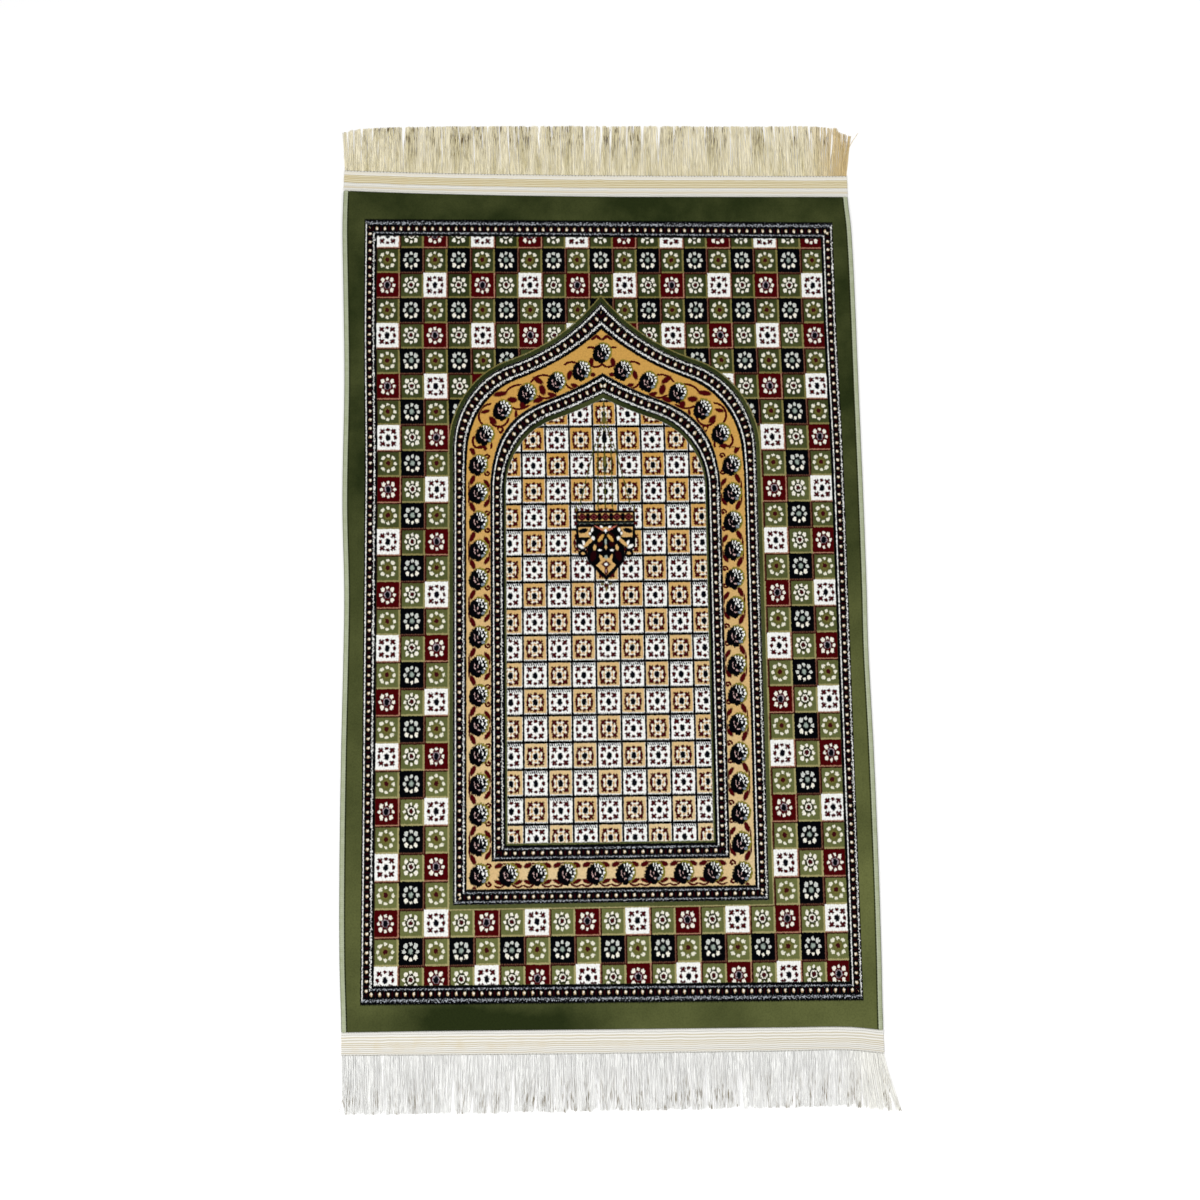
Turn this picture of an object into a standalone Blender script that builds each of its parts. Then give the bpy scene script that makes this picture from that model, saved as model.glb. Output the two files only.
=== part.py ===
"""Prayer rug: a flat pile cloth with an overcast binding down each long side and, at each end,
a ribbed heading and a fringe of loose locks.

Metres, +Z up. The rug lies on z = 0. +Y runs towards the point of the arch in its pattern, the
far end, and +X to the right seen from the near end. The origin is under the middle of its outline.
"""

import math
import random
from collections import namedtuple

import bmesh
import bpy

MM = 0.001

# Driving sizes, in metres
PILE_HEIGHT = 6.0 * MM          # backing and pile together
BINDING_WIDTH = 7.5 * MM
BINDING_HEIGHT = 5.8 * MM
HEADING_HEIGHT = 2.6 * MM       # the woven band between the ribs
STRIP_WIDTH = 3.0 * MM          # what holds the roots of a fringe
STRIP_HEIGHT = 2.4 * MM
LOCK_HEIGHT = 2.2 * MM
GAP = 0.3 * MM                  # between two pieces that touch
MEAN_WIDTH = 682.0 * MM

# Shares of the half width, from the middle: where the cloth ends and where a binding begins.
CLOTH_SHARE = 1 - 2 * (BINDING_WIDTH + GAP) / MEAN_WIDTH
BINDING_SHARE = 1 - 2 * BINDING_WIDTH / MEAN_WIDTH
CLOTH_COLUMNS = 14
LONG_ROWS = 28                  # steps along the cloth and its bindings
CLOTH_STATIONS = [CLOTH_SHARE * (2 * i / CLOTH_COLUMNS - 1) for i in range(CLOTH_COLUMNS + 1)]
STATIONS = [-1.0, -BINDING_SHARE, *CLOTH_STATIONS, BINDING_SHARE, 1.0]

LOCKS_PER_END = 120
LOCK_STEPS = 3                  # straight lengths in a lock, from root to tip
LOCK_FILL = 0.88                # share of the pitch that a lock takes up
LOCK_TIP = 0.72                 # width and height of a tip, as a share of the root's
RAGGED = 1.6 * MM               # how uneven the tips are cut
CLOTH_RIM = 1.4 * MM            # the pile's upper edge is worn round

# How far along the cloth each long side stands out from the axis of the pattern.
SideRow = namedtuple("SideRow", "along left right")
SIDES = [
    SideRow(-660.0 * MM, -337.0 * MM, 340.0 * MM),
    SideRow(-545.0 * MM, -338.5 * MM, 339.6 * MM),
    SideRow(-454.0 * MM, -341.8 * MM, 341.0 * MM),
    SideRow(-340.0 * MM, -343.0 * MM, 341.7 * MM),
    SideRow(-200.0 * MM, -342.5 * MM, 341.2 * MM),
    SideRow(-70.0 * MM, -340.8 * MM, 339.3 * MM),
    SideRow(10.0 * MM, -340.6 * MM, 340.2 * MM),
    SideRow(130.0 * MM, -344.2 * MM, 340.4 * MM),
    SideRow(290.0 * MM, -343.3 * MM, 339.7 * MM),
    SideRow(420.0 * MM, -346.0 * MM, 339.4 * MM),
    SideRow(500.0 * MM, -348.0 * MM, 338.0 * MM),
    SideRow(548.0 * MM, -347.2 * MM, 334.8 * MM),
    SideRow(660.0 * MM, -343.0 * MM, 336.5 * MM),
]

# Where pile, heading and fringe end, across the rug from its left side (-1) to its right (+1).
EndRow = namedtuple("EndRow", "across pile heading tips")
FAR_END = [
    EndRow(-1.00, 554.0 * MM, 583.8 * MM, 638.0 * MM),
    EndRow(-0.94, 553.0 * MM, 583.0 * MM, 643.0 * MM),
    EndRow(-0.65, 549.5 * MM, 579.9 * MM, 646.5 * MM),
    EndRow(0.00, 545.4 * MM, 576.6 * MM, 647.6 * MM),
    EndRow(0.65, 545.0 * MM, 575.8 * MM, 647.2 * MM),
    EndRow(0.93, 544.8 * MM, 575.6 * MM, 645.9 * MM),
    EndRow(1.00, 544.8 * MM, 575.6 * MM, 633.0 * MM),
]
NEAR_END = [
    EndRow(-1.00, -542.1 * MM, -570.6 * MM, -641.8 * MM),
    EndRow(-0.65, -542.6 * MM, -572.2 * MM, -643.5 * MM),
    EndRow(0.00, -544.5 * MM, -574.5 * MM, -644.4 * MM),
    EndRow(0.65, -546.2 * MM, -575.6 * MM, -644.5 * MM),
    EndRow(0.87, -547.1 * MM, -576.0 * MM, -644.9 * MM),
    EndRow(1.00, -551.7 * MM, -580.9 * MM, -652.5 * MM),
]

# How far the tips of a fringe lean out past its roots, at the left and at the right end.
Lean = namedtuple("Lean", "left right reach")
FAR_LEAN = Lean(-2.0 * MM, 6.5 * MM, 0.24)
NEAR_LEAN = Lean(-0.5 * MM, 15.5 * MM, 0.20)

# The drift of the tips to one side and the other, shared by neighbours so that none cross.
Sway = namedtuple("Sway", "amount turn_per_lock start")
SWAYS = [
    Sway(2.3 * MM, 0.09, 0.7),
    Sway(0.6 * MM, 0.25, 0.0),
]

# Heights across a heading, from the pile to the fringe: cords, a woven band and ribs.
ProfileRow = namedtuple("ProfileRow", "share height")
NEAR_HEADING = [
    ProfileRow(0.00, 1.9 * MM), ProfileRow(0.06, 3.2 * MM), ProfileRow(0.17, 3.2 * MM),
    ProfileRow(0.20, 2.7 * MM), ProfileRow(0.24, 3.4 * MM), ProfileRow(0.28, HEADING_HEIGHT),
    ProfileRow(0.53, HEADING_HEIGHT), ProfileRow(0.58, 3.3 * MM), ProfileRow(0.63, 2.5 * MM),
    ProfileRow(0.69, 3.3 * MM), ProfileRow(0.75, 2.5 * MM), ProfileRow(0.81, 3.3 * MM),
    ProfileRow(0.87, 2.5 * MM), ProfileRow(0.94, 3.3 * MM), ProfileRow(1.00, 2.3 * MM),
]
FAR_HEADING = [
    ProfileRow(0.00, 1.9 * MM), ProfileRow(0.07, 3.2 * MM), ProfileRow(0.18, 3.2 * MM),
    ProfileRow(0.22, HEADING_HEIGHT), ProfileRow(0.32, HEADING_HEIGHT), ProfileRow(0.39, 3.4 * MM),
    ProfileRow(0.46, 2.5 * MM), ProfileRow(0.52, 3.2 * MM), ProfileRow(0.58, 2.5 * MM),
    ProfileRow(0.64, 3.2 * MM), ProfileRow(0.70, 2.5 * MM), ProfileRow(0.75, 3.2 * MM),
    ProfileRow(0.80, 2.5 * MM), ProfileRow(0.90, 3.4 * MM), ProfileRow(1.00, 2.3 * MM),
]

# The overcast edge in section, from its outer side to the pile.
BINDING_PROFILE = [
    ProfileRow(0.00, 0.45 * BINDING_HEIGHT), ProfileRow(0.14, 0.82 * BINDING_HEIGHT),
    ProfileRow(0.40, 1.00 * BINDING_HEIGHT), ProfileRow(0.68, 0.98 * BINDING_HEIGHT),
    ProfileRow(0.90, 0.78 * BINDING_HEIGHT), ProfileRow(1.00, 0.50 * BINDING_HEIGHT),
]


def through(rows, position, key, value):
    """A smooth curve through a table's rows: the value at a position along its key column."""
    keys = [getattr(row, key) for row in rows]
    values = [getattr(row, value) for row in rows]
    last = len(rows) - 1
    position = min(max(position, keys[0]), keys[last])
    left = max(i for i in range(last) if keys[i] <= position or i == 0)
    span = keys[left + 1] - keys[left]

    def slope(i):
        before, after = max(i - 1, 0), min(i + 1, last)
        return (values[after] - values[before]) / (keys[after] - keys[before])

    t = (position - keys[left]) / span
    return ((2 * t ** 3 - 3 * t ** 2 + 1) * values[left]
            + (t ** 3 - 2 * t ** 2 + t) * span * slope(left)
            + (3 * t ** 2 - 2 * t ** 3) * values[left + 1]
            + (t ** 3 - t ** 2) * span * slope(left + 1))


def side_x(along, side):
    """The rug's left or right edge."""
    return through(SIDES, along, "along", side)


def across_x(across, along):
    """The place at a share across the rug, from its left edge (-1) to its right edge (+1)."""
    left = side_x(along, "left")
    right = side_x(along, "right")
    return left + (right - left) * (across + 1) / 2


def end_line(end, across, line):
    """A line across an end, straight from station to station, so that its pieces fit."""
    i = max(k for k in range(len(STATIONS) - 1) if STATIONS[k] <= across or k == 0)
    before = through(end, STATIONS[i], "across", line)
    after = through(end, STATIONS[i + 1], "across", line)
    return before + (after - before) * (across - STATIONS[i]) / (STATIONS[i + 1] - STATIONS[i])


def pile_point(across, share):
    """A place on the pile or a binding, at a share of the way from the near to the far end."""
    near = end_line(NEAR_END, across, "pile")
    far = end_line(FAR_END, across, "pile")
    along = near + (far - near) * share
    return across_x(across, along), along


def ease(value):
    """0 to 1, slow at both ends."""
    value = min(max(value, 0.0), 1.0)
    return value * value * (3 - 2 * value)


def make_material(name, colour, roughness):
    material = bpy.data.materials.new(name)
    material.use_nodes = True
    shader = material.node_tree.nodes["Principled BSDF"]
    shader.inputs["Base Color"].default_value = (*colour, 1.0)
    shader.inputs["Roughness"].default_value = roughness
    shader.inputs["Metallic"].default_value = 0.0
    return material


def make_object(name, mesh_builder, material):
    """One named object from finished mesh data, with its faces pointing out."""
    bmesh.ops.recalc_face_normals(mesh_builder, faces=mesh_builder.faces)
    mesh = bpy.data.meshes.new(name)
    mesh_builder.to_mesh(mesh)
    mesh_builder.free()
    mesh.materials.append(material)
    piece = bpy.data.objects.new(name, mesh)
    bpy.context.collection.objects.link(piece)
    return piece


def closed_sheet(columns, rows, top):
    """A sheet that is flat below, from a grid whose top points are put in place by top(i, j).

    Returns the mesh and its grid of top points, by column and then by row.
    """
    sheet = bmesh.new()
    bmesh.ops.create_grid(sheet, x_segments=columns, y_segments=rows, size=1.0)
    grid = [[None] * (rows + 1) for _ in range(columns + 1)]
    for vert in sheet.verts:
        i = round((vert.co.x + 1) / 2 * columns)
        j = round((vert.co.y + 1) / 2 * rows)
        grid[i][j] = vert
        vert.co = top(i, j)
    lower = bmesh.ops.extrude_face_region(sheet, geom=sheet.faces[:], use_keep_orig=True)
    for item in lower["geom"]:
        if isinstance(item, bmesh.types.BMVert):
            item.co.z = 0.0
    sheet.normal_update()
    return sheet, grid


def build_cloth(material):
    """The pile cloth: one flat sheet, its upper rim rounded over."""
    def top(i, j):
        return *pile_point(CLOTH_STATIONS[i], j / LONG_ROWS), PILE_HEIGHT

    sheet, _ = closed_sheet(CLOTH_COLUMNS, LONG_ROWS, top)
    rim_edges = [edge for edge in sheet.edges
                 if all(vert.co.z > PILE_HEIGHT / 2 for vert in edge.verts)
                 and any(abs(face.normal.z) < 0.5 for face in edge.link_faces)]
    bmesh.ops.bevel(sheet, geom=rim_edges, offset=CLOTH_RIM, offset_type="OFFSET", segments=2,
                    profile=0.5, affect="EDGES")
    return make_object("rug_cloth", sheet, material)


def build_binding(side, material):
    """The overcast edge down one long side, from one heading to the other."""
    outer = -1 if side == "left" else 1

    def top(i, j):
        row = BINDING_PROFILE[i]
        across = outer * (1 - row.share * (1 - BINDING_SHARE))
        return *pile_point(across, j / LONG_ROWS), row.height

    sheet, _ = closed_sheet(len(BINDING_PROFILE) - 1, LONG_ROWS, top)
    return make_object("binding_" + side, sheet, material)


def build_heading(name, end, profile, outward, material):
    """The ribbed band that closes an end, from the pile to the roots of the fringe."""
    def top(i, j):
        across = STATIONS[i]
        inner = end_line(end, across, "pile") + outward * GAP
        outer = end_line(end, across, "heading")
        along = inner + (outer - inner) * profile[j].share
        return across_x(across, along), along, profile[j].height

    sheet, _ = closed_sheet(len(STATIONS) - 1, len(profile) - 1, top)
    return make_object(name, sheet, material)


def lock_drift(number, t, lean):
    """How far sideways of its root a lock lies at a share t of its length."""
    across = 2 * (number + 0.5) / LOCKS_PER_END - 1
    sway = sum(row.amount * math.sin(row.turn_per_lock * number + row.start) for row in SWAYS)
    right = lean.right * ease((across - 1 + lean.reach) / lean.reach) ** 2
    left = lean.left * ease((-across - 1 + 3 * lean.reach) / (3 * lean.reach))
    return sway * t ** 1.5 + (right - left) * t ** 1.2


def grow_lock(fringe, root_face, drift, tip_y):
    """Extrudes a lock from its root face to its tip, narrowing, with its underside level."""
    face = root_face
    root = root_face.calc_center_median()
    half_width = max(abs(vert.co.x - root.x) for vert in face.verts)
    for step in range(1, LOCK_STEPS + 1):
        t = step / LOCK_STEPS
        size = 1 - (1 - LOCK_TIP) * t ** 2
        face = bmesh.ops.extrude_discrete_faces(fringe, faces=[face])["faces"][0]
        middle = face.calc_center_median()
        corners = [(vert, vert.co.x > middle.x, vert.co.z > middle.z) for vert in face.verts]
        for vert, on_right, on_top in corners:
            vert.co.x = root.x + drift(t) + (half_width if on_right else -half_width) * size
            vert.co.y = root.y + (tip_y - root.y) * t
            vert.co.z = LOCK_HEIGHT * size if on_top else 0.0


def build_fringe(name, end, lean, outward, seed, material):
    """A row of loose locks whose roots are fused into a narrow strip."""
    rng = random.Random(seed)
    columns = 2 * LOCKS_PER_END - 1      # locks, and the gaps between them, take turns
    pair_starts = [column // 2 + (LOCK_FILL if column % 2 else 0.0) for column in range(columns + 1)]

    def top(i, j):
        across = 2 * pair_starts[i] / pair_starts[-1] - 1
        along = end_line(end, across, "heading") + outward * (GAP + j * STRIP_WIDTH)
        return across_x(across, along), along, STRIP_HEIGHT

    fringe, grid = closed_sheet(columns, 1, top)
    roots = []
    for column in range(0, columns, 2):
        root_edge = fringe.edges.get((grid[column][1], grid[column + 1][1]))
        roots.append(min(root_edge.link_faces, key=lambda face: abs(face.normal.z)))
    for number, root_face in enumerate(roots):
        across = 2 * (number + 0.5) / LOCKS_PER_END - 1
        tip_y = through(end, across, "across", "tips") - outward * rng.uniform(0.0, RAGGED)
        grow_lock(fringe, root_face, lambda t: lock_drift(number, t, lean), tip_y)
    return make_object(name, fringe, material)


def centre_on_origin(pieces):
    """Moves every piece by one step, so that the outline's middle is over the origin."""
    points = [vert.co for piece in pieces for vert in piece.data.vertices]
    middle_x = (min(p.x for p in points) + max(p.x for p in points)) / 2
    middle_y = (min(p.y for p in points) + max(p.y for p in points)) / 2
    for piece in pieces:
        for vert in piece.data.vertices:
            vert.co.x -= middle_x
            vert.co.y -= middle_y


def main():
    for old in list(bpy.data.objects):
        bpy.data.objects.remove(old, do_unlink=True)

    pile = make_material("pile", (0.11, 0.14, 0.05), 0.9)
    binding = make_material("binding", (0.36, 0.43, 0.24), 0.8)
    heading = make_material("heading", (0.84, 0.80, 0.66), 0.85)
    far_fringe = make_material("fringe_cream", (0.72, 0.66, 0.43), 0.8)
    near_fringe = make_material("fringe_white", (0.86, 0.86, 0.84), 0.8)

    pieces = [
        build_cloth(pile),
        build_binding("left", binding),
        build_binding("right", binding),
        build_heading("heading_far", FAR_END, FAR_HEADING, 1, heading),
        build_heading("heading_near", NEAR_END, NEAR_HEADING, -1, heading),
        build_fringe("fringe_far", FAR_END, FAR_LEAN, 1, 11, far_fringe),
        build_fringe("fringe_near", NEAR_END, NEAR_LEAN, -1, 23, near_fringe),
    ]
    centre_on_origin(pieces)


main()
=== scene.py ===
"""Looks of the prayer rug: cut pile with its woven-in pattern, overcast long edges, ribbed
headings and loose fringes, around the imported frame.

The pattern is worked in millimetres in its own frame, whose origin is the middle of the outer
guard stripe: x to the right, y towards the point of the arch. Pieces are in metres.
"""

import math
import random

import bpy
import numpy as np
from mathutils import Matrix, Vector


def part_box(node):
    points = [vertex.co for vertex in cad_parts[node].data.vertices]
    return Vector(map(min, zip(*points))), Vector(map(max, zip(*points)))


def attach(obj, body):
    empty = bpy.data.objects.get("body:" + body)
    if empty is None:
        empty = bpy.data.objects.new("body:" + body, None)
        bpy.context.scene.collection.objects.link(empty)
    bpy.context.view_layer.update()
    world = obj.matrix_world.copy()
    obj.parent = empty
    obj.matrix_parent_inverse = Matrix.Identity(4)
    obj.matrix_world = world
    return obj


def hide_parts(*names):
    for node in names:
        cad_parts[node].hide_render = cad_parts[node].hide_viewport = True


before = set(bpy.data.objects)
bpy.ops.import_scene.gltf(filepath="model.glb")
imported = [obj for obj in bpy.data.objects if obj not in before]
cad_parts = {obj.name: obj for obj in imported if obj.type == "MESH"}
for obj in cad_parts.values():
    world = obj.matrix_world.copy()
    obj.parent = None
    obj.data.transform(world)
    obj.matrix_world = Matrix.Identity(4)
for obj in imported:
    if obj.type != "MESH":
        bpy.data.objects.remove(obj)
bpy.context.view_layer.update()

MM = 0.001

# ---- Outline of the rug, in millimetres from the middle of its pattern

# along, left edge, right edge
SIDES = np.array([
    (-660, -337.0, 340.0), (-545, -338.5, 339.6), (-454, -341.8, 341.0), (-340, -343.0, 341.7),
    (-200, -342.5, 341.2), (-70, -340.8, 339.3), (10, -340.6, 340.2), (130, -344.2, 340.4),
    (290, -343.3, 339.7), (420, -346.0, 339.4), (500, -348.0, 338.0), (548, -347.2, 334.8),
    (660, -343.0, 336.5),
])
# share across from the middle, end of the pile, of the heading and of the fringe
FAR_END = np.array([
    (-1.00, 554.0, 583.8, 638.0), (-0.94, 553.0, 583.0, 643.0), (-0.65, 549.5, 579.9, 646.5),
    (0.00, 545.4, 576.6, 647.6), (0.65, 545.0, 575.8, 647.2), (0.93, 544.8, 575.6, 645.9),
    (1.00, 544.8, 575.6, 633.0),
])
NEAR_END = np.array([
    (-1.00, -542.1, -570.6, -641.8), (-0.65, -542.6, -572.2, -643.5),
    (0.00, -544.5, -574.5, -644.4), (0.65, -546.2, -575.6, -644.5),
    (0.87, -547.1, -576.0, -644.9), (1.00, -551.7, -580.9, -652.5),
])
PILE, HEADING, TIPS = 1, 2, 3        # columns of the two tables above
BINDING_WIDTH = 7.5
GAP = 0.3
MEAN_WIDTH = 682.0
CLOTH_SHARE = 1 - 2 * (BINDING_WIDTH + GAP) / MEAN_WIDTH
BINDING_SHARE = 1 - 2 * BINDING_WIDTH / MEAN_WIDTH


def through(table, position, column):
    """A smooth curve through a table's rows, at positions along its first column."""
    keys, values = table[:, 0], table[:, column]
    position = np.clip(position, keys[0], keys[-1])
    left = np.clip(np.searchsorted(keys, position, side="right") - 1, 0, len(keys) - 2)
    slopes = np.empty(len(keys))
    slopes[1:-1] = (values[2:] - values[:-2]) / (keys[2:] - keys[:-2])
    slopes[0] = (values[1] - values[0]) / (keys[1] - keys[0])
    slopes[-1] = (values[-1] - values[-2]) / (keys[-1] - keys[-2])
    span = keys[left + 1] - keys[left]
    t = (position - keys[left]) / span
    return ((2 * t ** 3 - 3 * t ** 2 + 1) * values[left]
            + (t ** 3 - 2 * t ** 2 + t) * span * slopes[left]
            + (3 * t ** 2 - 2 * t ** 3) * values[left + 1]
            + (t ** 3 - t ** 2) * span * slopes[left + 1])


def across_x(across, along):
    """The place at a share across the rug, from its left edge (-1) to its right edge (+1)."""
    left, right = through(SIDES, along, 1), through(SIDES, along, 2)
    return left + (right - left) * (across + 1) / 2


def pile_point(across, share):
    """A place on the pile or a binding, at a share of the way from the near to the far end."""
    near, far = through(NEAR_END, across, PILE), through(FAR_END, across, PILE)
    along = near + (far - near) * share
    return across_x(across, along), along


def pattern_shift():
    """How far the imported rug's origin is from the middle of its pattern."""
    low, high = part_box("rug_cloth")
    across, share = np.meshgrid(np.array([-CLOTH_SHARE, CLOTH_SHARE]), np.linspace(0, 1, 29))
    x, y = pile_point(across, share)
    return (((low[0] + high[0]) / MM - x.min() - x.max()) / 2,
            ((low[1] + high[1]) / MM - y.min() - y.max()) / 2)


SHIFT_X, SHIFT_Y = pattern_shift()


def placed(x, y, z):
    """Places in the pattern's millimetres as an array of points in the frame's metres."""
    x, y, z = np.broadcast_arrays(x + SHIFT_X, y + SHIFT_Y, z)
    return np.stack([x, y, z], axis=-1) * MM


# ---- Camera, floor and light

CAMERA_PLACE = (-67.3, -241.5, 1806.6)      # in the pattern's millimetres
CAMERA_TURN = (7.531, -1.734, -0.775)       # in degrees


def deselect_all():
    for other in bpy.context.selected_objects:
        other.select_set(False)


def make_camera():
    """Almost straight above, a little towards the near end."""
    bpy.ops.object.camera_add(location=placed(*CAMERA_PLACE),
                              rotation=[math.radians(angle) for angle in CAMERA_TURN])
    camera = bpy.context.object
    camera.name = "camera"
    camera.data.sensor_width = 36.0
    camera.data.sensor_fit = "HORIZONTAL"
    camera.data.lens = 42.0
    camera.data.clip_start = 0.05
    bpy.context.scene.camera = camera
    bpy.context.scene.view_settings.view_transform = "Standard"


def make_light(name, place, size, power):
    """A round lamp that shines at the middle of the rug."""
    bpy.ops.object.light_add(type="AREA", location=place)
    light = bpy.context.object
    light.name = name
    light.data.shape = "DISK"
    light.data.size = size
    light.data.energy = power
    light.rotation_euler = (-Vector(place)).to_track_quat("-Z", "Y").to_euler()


def make_room():
    """A plain pale floor, a pale sky and two large soft lamps."""
    deselect_all()
    bpy.ops.mesh.primitive_plane_add(size=12.0, location=(0.0, 0.0, 0.0))
    floor = bpy.context.object
    floor.name = "floor"
    paper, _ = new_finish("floor_paper", (0.96, 0.96, 0.96, 1.0), 0.9, shine=0.1)
    floor.data.materials.append(paper)
    world = bpy.data.worlds.new("studio")
    bpy.context.scene.world = world
    world.use_nodes = True
    sky = world.node_tree.nodes["Background"]
    sky.inputs["Color"].default_value = (1.0, 1.0, 1.0, 1.0)
    sky.inputs["Strength"].default_value = 0.62
    make_light("key", (-1.2, -1.4, 2.6), 1.6, 50.0)
    make_light("fill", (1.6, 1.0, 2.8), 2.2, 26.0)


# ---- Numbers worked out at each point of a surface, by shader nodes

tree = None      # the node tree that is being filled


class Num:
    """A number at each point of a surface."""

    def __init__(self, socket):
        self.socket = socket

    def __add__(self, other):
        return reckon("ADD", self, other)

    def __sub__(self, other):
        return reckon("SUBTRACT", self, other)

    def __rsub__(self, other):
        return reckon("SUBTRACT", other, self)

    def __mul__(self, other):
        return reckon("MULTIPLY", self, other)

    def __truediv__(self, other):
        return reckon("DIVIDE", self, other)

    __radd__ = __add__
    __rmul__ = __mul__


class Spot(Num):
    """A place, as a vector in millimetres, at each point of a surface."""


def feed(socket, value):
    if isinstance(value, Num):
        tree.links.new(value.socket, socket)
    else:
        socket.default_value = value


def add_node(kind, *values, **settings):
    """A new node with these settings, and with the values fed to its first inputs."""
    node = tree.nodes.new("ShaderNode" + kind)
    for name, setting in settings.items():
        setattr(node, name, setting)
    for socket, value in zip(node.inputs, values):
        feed(socket, value)
    return node


def reckon(operation, *values):
    return Num(add_node("Math", *values, operation=operation).outputs[0])


def least(number, *others):
    for other in others:
        number = reckon("MINIMUM", number, other)
    return number


def most(number, *others):
    for other in others:
        number = reckon("MAXIMUM", number, other)
    return number


def scaled(value, times, plus):
    return reckon("MULTIPLY_ADD", value, times, plus)


def size_of(value):
    return reckon("ABSOLUTE", value)


def swing(value, top):
    """Up from 0 to the top and down again, over and over, as the value grows."""
    return reckon("PINGPONG", value, top)


def ease(value, low, high, at_low=0.0, at_high=1.0):
    """From one number to another, smoothly, as the value goes from low to high."""
    # this interpolation stops at its ends without a clamp
    return Num(add_node("MapRange", value, low, high, at_low, at_high,
                        interpolation_type="SMOOTHSTEP", clamp=False).outputs[0])


def reckon_spot(operation, *values):
    return Spot(add_node("VectorMath", *values, operation=operation).outputs["Vector"])


def measure(operation, *values):
    """A number from places, such as a distance."""
    return Num(add_node("VectorMath", *values, operation=operation).outputs["Value"])


def spot_at(x, y):
    """A place from its two coordinates; its third is 1, so that a dot product can hold a shift."""
    return Spot(add_node("CombineXYZ", x, y, 1.0).outputs[0])


def along(spot, x, y, shift=0.0):
    """The spot's distance along one direction, from a shifted zero."""
    return measure("DOT_PRODUCT", spot, (x, y, shift))


def parts_of(spot):
    return along(spot, 1.0, 0.0), along(spot, 0.0, 1.0)


def far_from(spot, x, y):
    return measure("DISTANCE", spot, (x, y, 1.0))


def seen_parts(spot, x, y, wide, tall, turn):
    """The spot's distances from (x, y) along turned axes, in units of wide and tall."""
    cos, sin = math.cos(math.radians(turn)), math.sin(math.radians(turn))
    return (along(spot, cos / wide, sin / wide, -(x * cos + y * sin) / wide),
            along(spot, -sin / tall, cos / tall, (x * sin - y * cos) / tall))


def seen_from(spot, x, y, wide=1.0, tall=1.0, turn=0.0):
    """The spot as measured from (x, y), along turned axes, in units of wide and tall."""
    if turn:
        return Spot(add_node("CombineXYZ", *seen_parts(spot, x, y, wide, tall, turn)).outputs[0])
    return reckon_spot("MULTIPLY_ADD", spot, (1 / wide, 1 / tall, 0.0), (-x / wide, -y / tall, 0.0))


def past_block(spot, wide, tall):
    """The distance from a rectangle with half sizes wide and tall round the middle."""
    beyond = reckon_spot("SUBTRACT", reckon_spot("ABSOLUTE", spot), (wide, tall, 0.0))
    return measure("LENGTH", reckon_spot("MAXIMUM", beyond, (0.0, 0.0, 0.0)))


def mix(share, first, second, data_type, start, output):
    """Blender's mixing node for one type of data, whose two inputs start at this number."""
    node = add_node("Mix", share, data_type=data_type)
    feed(node.inputs[start], first)
    feed(node.inputs[start + 1], second)
    return node.outputs[output]


def blend(share, first, second):
    """The first number where the share is 0 and the second where it is 1."""
    return Num(mix(share, first, second, "FLOAT", 2, 0))


def blend_spot(share, first, second):
    return Spot(mix(share, first, second, "VECTOR", 4, 1))


def paint(colour, mask, yarn):
    """The colour, changed to the yarn's where the mask is 1."""
    return Num(mix(mask, colour, yarn, "RGBA", 6, 2))


class Coat:
    """The colour of a surface, which is dyed step by step."""

    def __init__(self, colour):
        self.colour = colour

    def dye(self, mask, yarn):
        self.colour = paint(self.colour, mask, yarn)


def noise(spot, scale, detail, rough=0.5, dimensions="2D"):
    """Soft noise in patches of about 1 / scale."""
    node = add_node("TexNoise", spot, noise_dimensions=dimensions)
    for name, value in (("Scale", scale), ("Detail", detail), ("Roughness", rough)):
        node.inputs[name].default_value = value
    return node


def cloudy_spot(spot, scale, detail=1.0, amount=1.0):
    """Soft noise in each direction, from about -0.2 to 0.2 times the amount."""
    cloud = Spot(noise(spot, scale, detail).outputs["Color"])
    return reckon_spot("MULTIPLY_ADD", cloud, (amount, amount, 0.0),
                       (-amount / 2, -amount / 2, 0.0))


def cloudy(spot, scale, detail=2.0, rough=0.5):
    """Soft noise, mostly 0.3 to 0.7."""
    return Num(noise(spot, scale, detail, rough).outputs["Fac"])


def surface_spot():
    """The place on the piece, in the pattern's millimetres."""
    place = Spot(add_node("TexCoord").outputs["Object"])
    return reckon_spot("MULTIPLY_ADD", place, (1 / MM, 1 / MM, 0.0), (-SHIFT_X, -SHIFT_Y, 1.0))


# ---- Pattern of the pile

TUFT = 0.8                  # how soft the edge between two yarns is
LIGHT = 1.2                 # what falls on the level, with 1 for a screen's white
COLUMN, ROW = 31.65, 34.7   # sizes of a cell of the ground round the arch
OUTER_TOP = 507.05          # where its first row starts
INNER_COLUMN, INNER_ROW = 31.43, 34.5       # sizes of a cell under the arch
HALF_WIDTH, HALF_LENGTH = 315.1, 513.0      # of the outer guard stripe
GUARD_WIDTH = 16.7
GUARD_LINE = 5.1            # from a guard stripe's middle to its white lines
GUARD_STEP = 11.6           # between two of its flowers, along the rug
END_STRETCH = 11.57 / 10.55             # they are closer together at the rug's ends
ARCH_STRETCH = GUARD_STEP / 10.58       # and round the arch
ROSE_STEP, FOOT_STEP = 37.8, 37.0       # between two roses of the arch's sides and of its foot
LEFT_ROSES, RIGHT_ROSES = -167.0, 166.4
FOOT_ROSES = -353.0
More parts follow.
